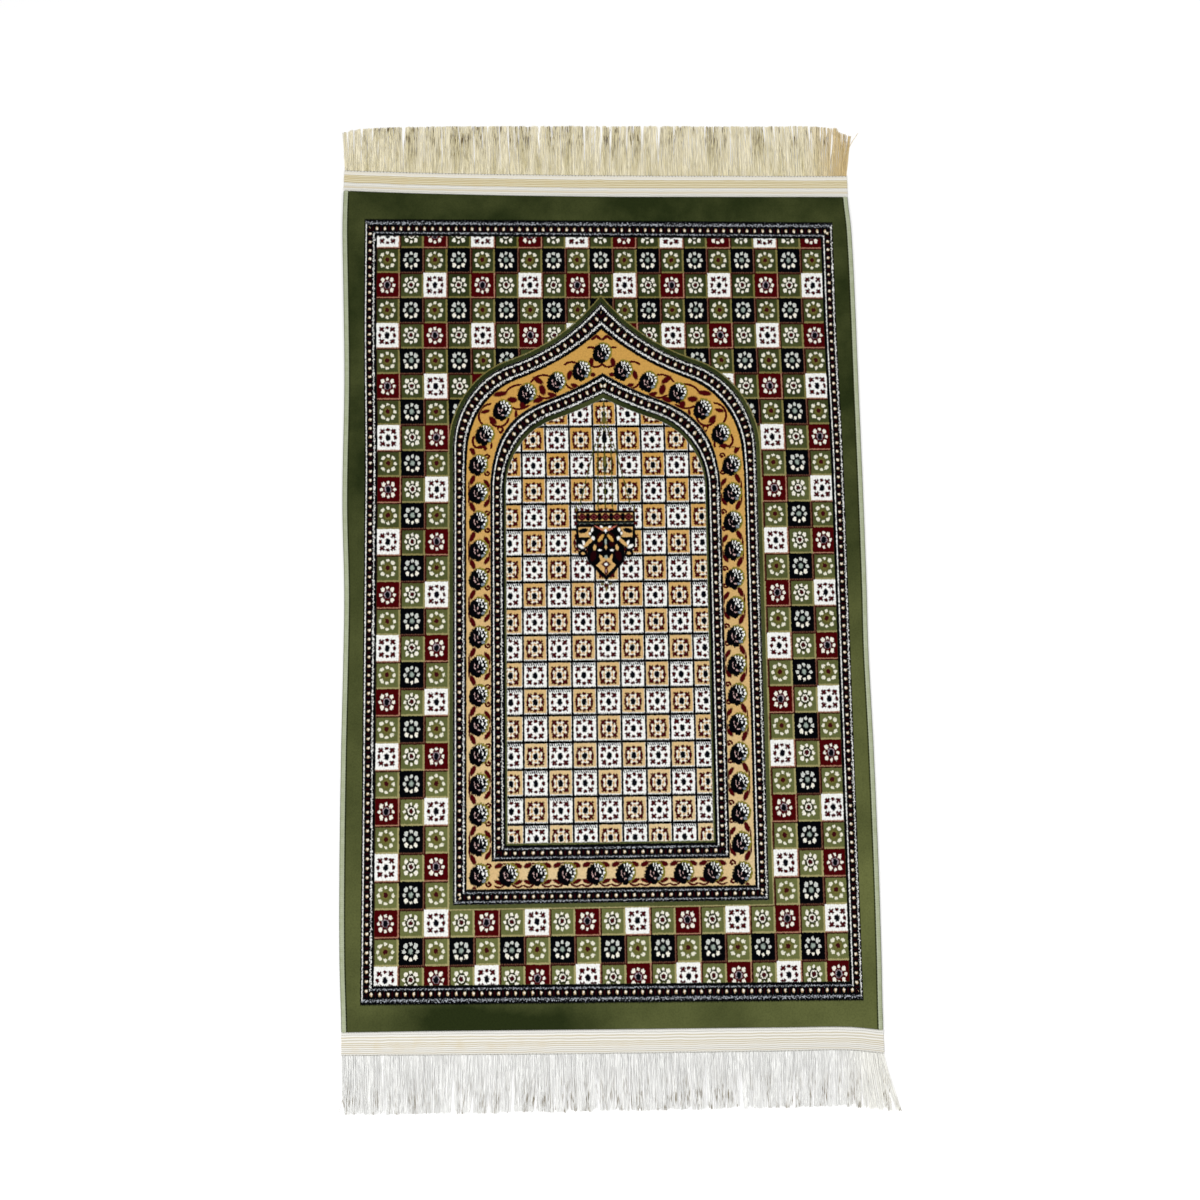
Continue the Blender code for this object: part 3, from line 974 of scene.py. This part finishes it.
def back_finish():
    """The plain woven back: pale weft over and under green warp."""
    finish, shader = new_finish("woven_back", dyed(178, 176, 140), 0.9)
    x, y = parts_of(surface_spot())
    over = above(swing(x, 1.1), 0.35, 0.5) * above(swing(y, 1.4), 0.3, 0.5)
    feed(shader.inputs["Base Color"], paint(dyed(120, 122, 82), over, dyed(196, 192, 160)))
    roughen(shader, 0.5, 0.4)
    return finish


def yarn_finish():
    """Overcast yarn: light green turns, with painted shade on the outer side, at the pile and
    between turns.
    """
    finish, shader = new_finish("overcast_yarn", dyed(168, 176, 144), 0.85)
    share, _ = parts_of(surface_share())
    spot = surface_spot()
    _, y = parts_of(spot)
    yarn = Coat(dyed(184, 191, 162))
    yarn.dye(scaled(cloudy(spot, 0.12), 1.2, -0.35), dyed(156, 165, 124))
    # painted shade on the outer side of the roll
    yarn.dye(below(share, 0.16, 0.22), dyed(112, 119, 92))
    # painted shade in the groove where the yarn meets the pile
    yarn.dye(above(share, 0.84, 0.16), dyed(88, 98, 56))
    yarn.dye(stripe(share, 0.72, 0.80, 0.1), dyed(206, 211, 186))
    # dark dashes in that groove: painted shade between the stitches
    yarn.dye(below(swing(y, 2.2), 0.8, 0.6) * stripe(share, 0.84, 0.97, 0.06), dyed(34, 40, 20))
    # painted shade between the turns
    yarn.dye(below(swing(y, YARN_TURN / 2), 0.3, 0.5) * 0.22, dyed(84, 92, 56))
    feed(shader.inputs["Base Color"], yarn.colour)
    roughen(shader, 0.9, 0.3)
    return finish


def heading_finish(name, ground, lines, slit_shade_strength):
    """White cotton ribs: coloured lines at shares of the way from the pile to the fringe.

    lines are (share, half width, how broken it is, colour); the last argument says how strongly
    painted shade darkens the holes at the roots of the fringe.
    """
    finish, shader = new_finish(name, ground, 0.9)
    spot = surface_spot()
    uneven = cloudy_spot(spot, 0.05, 2.0, 0.06)
    _, share = parts_of(reckon_spot("ADD", surface_share(), uneven))
    wear, _ = parts_of(uneven)
    x, _ = parts_of(spot)
    cotton = Coat(ground)
    for number, (middle, half, broken, yarn) in enumerate(lines):
        line = stripe(share, middle - half, middle + half, 0.02)
        if broken:
            stitches = above(swing(x + share * 40.0 + number * 1.1, 1.3), 0.5, 0.9)
            line = line * scaled(stitches, broken, 1.0 - broken)
        cotton.dye(line, yarn)
    stain = ease(wear, -0.004, 0.016, 0.0, 0.3) * stripe(share, 0.35, 0.8, 0.3)
    cotton.dye(stain * ease(x, -250.0, 150.0, 1.0, 0.1), dyed(222, 202, 156))
    # painted shade in the holes between the bunches at the roots of the fringe
    slit_shade = below(swing(x, 2.19), 0.5, 0.6) * above(share, 0.955, 0.02)
    cotton.dye(slit_shade * slit_shade_strength, dyed(92, 82, 62))
    feed(shader.inputs["Base Color"], cotton.colour)
    roughen(shader, 0.8, 0.3)
    return finish


def thread_finish(name, light, dark, end_colour, soiled):
    """Loose cotton threads, in paler and darker locks, here and there soiled at their tips."""
    finish, shader = new_finish(name, light, 0.8)
    spot = surface_spot()
    x, y = parts_of(spot)
    locks = cloudy(spot_at(x, y * 0.12), 0.10)
    strands = cloudy(spot_at(x, y * 0.05), 1.1)
    shade = scaled(locks, 2.0, -0.72) + scaled(strands, 1.4, -0.6)
    threads = Coat(light)
    threads.dye(least(most(shade, 0.0), 1.0), dark)
    threads.dye(ease(x, 270.0, 340.0, 0.0, 0.85), end_colour)
    tips = above(strands, 0.60, 0.05) * above(size_of(y), 612.0, 34.0)
    threads.dye(tips * ease(locks, 0.42, 0.56), soiled)
    feed(shader.inputs["Base Color"], threads.colour)
    return finish


# ---- Pieces

def edit(*steps):
    """Runs edit-mode steps on the active piece."""
    bpy.ops.object.mode_set(mode="EDIT")
    for step in steps:
        step()
    bpy.ops.object.mode_set(mode="OBJECT")


def mesh_points(mesh):
    points = np.empty(len(mesh.vertices) * 3)
    mesh.vertices.foreach_get("co", points)
    return points.reshape(-1, 3)


def cloth_piece(name, columns, rows, top, finish):
    """A closed sheet from a grid: top(u, v) puts its upper side in place, for u and v from
    -1 to 1, and its underside lies flat on the floor."""
    deselect_all()
    bpy.ops.mesh.primitive_grid_add(x_subdivisions=columns, y_subdivisions=rows, size=2.0)
    piece = bpy.context.object
    piece.name = name
    mesh = piece.data
    mesh.name = name
    flat = mesh_points(mesh)
    mesh.vertices.foreach_set("co", placed(*top(flat[:, 0], flat[:, 1])).ravel())
    edit(lambda: bpy.ops.mesh.select_all(action="SELECT"),
         bpy.ops.mesh.extrude_region_move)
    low = np.empty(len(mesh.vertices), bool)
    mesh.vertices.foreach_get("select", low)
    points = mesh_points(mesh)
    points[low, 2] = 0.0
    mesh.vertices.foreach_set("co", points.ravel())
    edit(lambda: bpy.ops.mesh.select_all(action="SELECT"),
         lambda: bpy.ops.mesh.normals_make_consistent(inside=False))
    mesh.materials.append(finish)
    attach(piece, "root")
    return piece


PILE_HEIGHT = 6.0
PILE_COLUMNS, PILE_ROWS = 124, 200
RIM = 1.4                       # how far the upper rim is worn
MAP_RIM = 8.0                   # room round the top in the map, for its sides
TOP_START, TOP_SIZE = np.array([0.005, 0.005]), np.array([0.93, 0.99])
BACK_START, BACK_SIZE = np.array([0.945, 0.01]), np.array([0.045, 0.98])


def pile_top(u, v):
    """The pile's tips: level, but for the soft unevenness of cloth that has been folded."""
    x, y = pile_point(u * CLOTH_SHARE, (v + 1) / 2)
    swell = (0.30 * np.sin(x / 61 + 1.3) * np.sin(y / 83 + 0.4)
             + 0.22 * np.sin(x / 27 + y / 71 + 2.0) + 0.12 * np.sin(y / 19 - x / 97))
    fold = -0.35 * (np.exp(-((y - 12) / 9) ** 2) + np.exp(-((y + 268) / 8) ** 2)
                    + np.exp(-((y - 279) / 8) ** 2))
    return x, y, PILE_HEIGHT - 0.45 + swell * 0.6 + fold


def map_for_baking(mesh):
    """A map with the pile's top over nearly all of it, and the back in a strip beside it."""
    points = mesh_points(mesh)
    low, high = points.min(axis=0), points.max(axis=0)
    middle = (low + high) / 2
    rim = MAP_RIM * MM
    uv = mesh.uv_layers.new(name="OFBake")
    for face in mesh.polygons:
        for loop in face.loop_indices:
            point = points[mesh.loops[loop].vertex_index]
            share = (point - low + rim) / (high - low + 2 * rim)
            if face.normal.z < -0.5:
                uv.data[loop].uv = BACK_START + BACK_SIZE * share[:2]
                continue
            if face.normal.z < 0.9:
                axis = 0 if abs(face.normal.x) > abs(face.normal.y) else 1
                shift = math.copysign(high[2] - point[2], point[axis] - middle[axis])
                share[axis] += shift / (high[axis] - low[axis] + 2 * rim)
            uv.data[loop].uv = TOP_START + TOP_SIZE * share[:2]


def make_pile(finish, back):
    piece = cloth_piece("rug_pile", PILE_COLUMNS, PILE_ROWS, pile_top, finish)
    mesh = piece.data
    # the upper rim is worn round
    for part in (*mesh.polygons, *mesh.edges, *mesh.vertices):
        part.select = False
    wall_edges = {}
    for face in mesh.polygons:
        for key in face.edge_keys:
            wall_edges.setdefault(key, []).append(abs(face.normal.z) < 0.5)
    points = mesh_points(mesh)
    for edge in mesh.edges:
        walls = wall_edges[edge.key]
        upper = min(points[i][2] for i in edge.vertices) > PILE_HEIGHT * MM / 2
        edge.select = bool(upper and any(walls) and not all(walls))
    edit(lambda: bpy.ops.mesh.select_mode(type="EDGE"),
         lambda: bpy.ops.mesh.bevel(offset=RIM * MM, segments=3, profile=0.5))
    bpy.ops.object.shade_smooth()
    mesh.materials.append(back)
    for face in mesh.polygons:
        face.material_index = int(face.normal.z < -0.5)
    map_for_baking(mesh)
    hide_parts("rug_cloth")
    return piece


BINDING_HEIGHT = 5.8
BINDING_SECTION = np.array([    # share from the outer side to the pile, height
    (0.00, 0.45), (0.14, 0.82), (0.40, 1.00), (0.68, 0.98), (0.90, 0.78), (1.00, 0.50),
])
BINDING_LENGTH = 1094.0
BINDING_COLUMNS = 7
YARN_TURN = 2.4                 # between two turns of the overcast yarn
TURN_STEPS = 4


def make_binding(side, finish):
    """Yarn wound over the long edge, turn by turn."""
    outer = -1 if side == "left" else 1

    def top(u, v):
        share = (u + 1) / 2
        height = through(BINDING_SECTION, share, 1) * BINDING_HEIGHT
        across = outer * (1 - share * (1 - BINDING_SHARE))
        x, y = pile_point(across, (v + 1) / 2)
        turns = (v + 1) / 2 * BINDING_LENGTH / YARN_TURN + 0.5 * share
        ridge = np.abs(np.sin(math.pi * turns))
        uneven = 0.15 * np.sin(y / 11.0) + 0.1 * np.sin(y / 4.3 + 1.0)
        x = x - outer * np.where(share < 0.1, 0.35 * (1 - ridge), 0.0)
        return x, y, height - 0.55 * (1 - ridge) + uneven * 0.5 - 0.1

    rows = round(BINDING_LENGTH / YARN_TURN) * TURN_STEPS
    piece = cloth_piece("overcast_" + side, BINDING_COLUMNS, rows, top, finish)
    bpy.ops.object.shade_smooth()
    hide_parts("binding_" + side)
    return piece


NEAR_HEADING = np.array([       # share from the pile to the fringe, height
    (0.00, 1.9), (0.06, 3.2), (0.17, 3.2), (0.20, 2.7), (0.24, 3.4), (0.28, 2.6), (0.53, 2.6),
    (0.58, 3.3), (0.63, 2.5), (0.69, 3.3), (0.75, 2.5), (0.81, 3.3), (0.87, 2.5), (0.94, 3.3),
    (1.00, 2.3),
])
FAR_HEADING = np.array([
    (0.00, 1.9), (0.07, 3.2), (0.18, 3.2), (0.22, 2.6), (0.32, 2.6), (0.39, 3.4), (0.46, 2.5),
    (0.52, 3.2), (0.58, 2.5), (0.64, 3.2), (0.70, 2.5), (0.75, 3.2), (0.80, 2.5), (0.90, 3.4),
    (1.00, 2.3),
])
HEADING_COLUMNS, HEADING_ROWS = 700, 34


def make_heading(name, end, section, braids, outward, node, finish):
    """Ribs and braids of the ground threads, between the pile and the fringe.

    braids are (first share, last share, stitch length, slant): rows of slanted stitches.
    """
    def top(u, v):
        share = (v + 1) / 2
        inner = through(end, u, PILE) + outward * GAP
        outer = through(end, u, HEADING)
        y = inner + (outer - inner) * share
        x = across_x(u, y)
        height = through(section, share, 1)
        rib = 0.10 * np.sin(2 * math.pi * x / 2.0)
        for first, last, stitch, slant in braids:
            inside = (share >= first) & (share <= last)
            reach = (share - first) / (last - first) - 0.5
            braid = 0.28 * np.sin(2 * math.pi * (x / stitch + slant * np.abs(reach)))
            rib = np.where(inside, braid, rib)
        wave = 0.15 * np.sin(x / 23.0) + 0.1 * np.sin(x / 9.1 + 2.0)
        return x, y, height + rib + wave - 0.15

    piece = cloth_piece(name, HEADING_COLUMNS, HEADING_ROWS, top, finish)
    bpy.ops.object.shade_smooth()
    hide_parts(node)
    return piece


THREADS, BUNCHES, THREAD_STEPS = 2100, 156, 6
THREAD_RADIUS = 0.34


def make_fringe(name, end, lean, outward, ragged, seed, node, finish):
    """Loose threads in small bunches at the edge of the heading.

    lean says how far the tips go sideways at the left and at the right corner, and over what
    share of the width; ragged is how much the bunches differ in length.
    """
    rng = random.Random(seed)
    lean_left, lean_right, reach = lean
    deselect_all()
    curve = bpy.data.curves.new(name, "CURVE")
    curve.dimensions = "3D"
    curve.bevel_depth = THREAD_RADIUS * MM
    curve.bevel_resolution = 0
    curve.use_fill_caps = True
    leans = [(rng.gauss(0.0, 1.5), rng.gauss(0.0, ragged)) for _ in range(BUNCHES + 1)]
    for number in range(THREADS):
        share = (number + rng.uniform(-0.8, 0.8)) / THREADS
        bunch_lean, bunch_length = leans[math.floor(share * BUNCHES)]
        bunch = (math.floor(share * BUNCHES) + 0.5) / BUNCHES
        across = 2 * (bunch + (share - bunch) * 0.92) - 1
        across = min(max(across, -0.998), 0.998)
        root = float(through(end, np.array(across), HEADING)) + outward * 0.4
        tip = float(through(end, np.array(across), TIPS))
        tip -= outward * (abs(rng.gauss(0.0, 1.2)) + abs(bunch_length) - 0.8)
        if rng.random() < 0.05:
            tip -= outward * rng.uniform(3.0, 14.0)
        x = float(across_x(across, root))
        right = lean_right * max(0.0, (across - 1 + reach) / reach) ** 2
        left = lean_left * max(0.0, (-across - 1 + 3 * reach) / (3 * reach))
        sway = 2.3 * math.sin(5.4 * across + 0.7) + 0.8 * math.sin(27.0 * across)
        wander = bunch_lean + rng.gauss(0.0, 0.9)
        if rng.random() < 0.04:
            wander = rng.gauss(0.0, 7.0)
        bow = rng.gauss(0.0, 0.7)
        layer = rng.random()
        line = curve.splines.new("POLY")
        line.points.add(THREAD_STEPS)
        for step, point in enumerate(line.points):
            t = step / THREAD_STEPS
            px = (x + (sway + right + left + wander) * t ** 1.3
                  + bow * math.sin(math.pi * t) + 0.25 * math.sin(9 * t + 40 * layer))
            py = root + (tip - root) * t
            pz = 0.43 + layer * (1.75 - 0.75 * t) + 0.15 * math.sin(6 * t + 30 * layer)
            point.co = (*placed(px, py, pz), 1.0)
            point.radius = 1.0 - 0.25 * t
    piece = bpy.data.objects.new(name, curve)
    bpy.context.collection.objects.link(piece)
    piece.select_set(True)
    bpy.context.view_layer.objects.active = piece
    bpy.ops.object.convert(target="MESH")
    piece = bpy.context.object
    bpy.ops.object.shade_smooth()
    piece.data.materials.clear()
    piece.data.materials.append(finish)
    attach(piece, "root")
    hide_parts(node)
    return piece


# ---- The rug

make_camera()
make_room()

PALE_TAN = dyed(228, 218, 194)
LINE_TAN = dyed(190, 168, 116)
LINE_GREY = dyed(186, 184, 172)
far_cotton = heading_finish("far_cotton", dyed(240, 238, 230), (
    (0.10, 0.012, 0.5, LINE_GREY), (0.215, 0.050, 0.0, PALE_TAN), (0.30, 0.012, 0.7, LINE_GREY),
    (0.39, 0.012, 0.7, LINE_GREY), (0.61, 0.185, 0.0, dyed(232, 223, 190)),
    (0.46, 0.016, 0.2, LINE_TAN), (0.545, 0.016, 0.2, LINE_TAN), (0.625, 0.014, 0.2, LINE_TAN),
    (0.70, 0.014, 0.2, LINE_TAN), (0.775, 0.014, 0.3, LINE_TAN),
    (0.90, 0.055, 0.75, dyed(238, 231, 212)),
), 0.75)
near_cotton = heading_finish("near_cotton", dyed(246, 244, 238), (
    (0.13, 0.020, 0.8, LINE_GREY), (0.25, 0.026, 0.5, dyed(206, 194, 160)),
    (0.37, 0.034, 0.75, dyed(196, 188, 164)), (0.49, 0.022, 0.3, dyed(200, 188, 154)),
    (0.57, 0.018, 0.2, dyed(198, 186, 154)), (0.65, 0.018, 0.2, dyed(200, 190, 162)),
    (0.74, 0.018, 0.3, dyed(194, 188, 170)), (0.82, 0.018, 0.3, dyed(190, 186, 172)),
    (0.90, 0.018, 0.3, dyed(198, 188, 162)), (0.965, 0.018, 0.7, LINE_GREY),
), 0.5)
yarn = yarn_finish()
# the far threads: the same cotton as the near ones, tinted darker and yellower as painted shade of
# the far end; their yellowed right end is age
far_shaded_cream = thread_finish("shaded_cream_threads", (0.92, 0.86, 0.67, 1.0), (0.69, 0.62, 0.38, 1.0),
                          (0.69, 0.52, 0.24, 1.0), dyed(110, 88, 48))
near_white = thread_finish("white_threads", (0.92, 0.92, 0.90, 1.0), (0.78, 0.78, 0.76, 1.0),
                           (0.93, 0.92, 0.86, 1.0), dyed(150, 138, 112))

rug = make_pile(pile_finish(), back_finish())
edgings = [
    make_binding("left", yarn),
    make_binding("right", yarn),
    make_heading("heading_ribs_far", FAR_END, FAR_HEADING,
                 [(0.0, 0.2, 3.2, 1.2), (0.33, 0.45, 2.6, 1.0), (0.80, 1.0, 3.0, 2.0)], 1,
                 "heading_far", far_cotton),
    make_heading("heading_ribs_near", NEAR_END, NEAR_HEADING,
                 [(0.0, 0.2, 3.2, 1.2), (0.20, 0.28, 2.4, 0.8)], -1,
                 "heading_near", near_cotton),
    make_fringe("threads_far", FAR_END, (-2.0, 6.5, 0.24), 1, 0.4, 11, "fringe_far",
                far_shaded_cream),
    make_fringe("threads_near", NEAR_END, (-0.5, 15.5, 0.20), -1, 1.6, 23, "fringe_near",
                near_white),
]
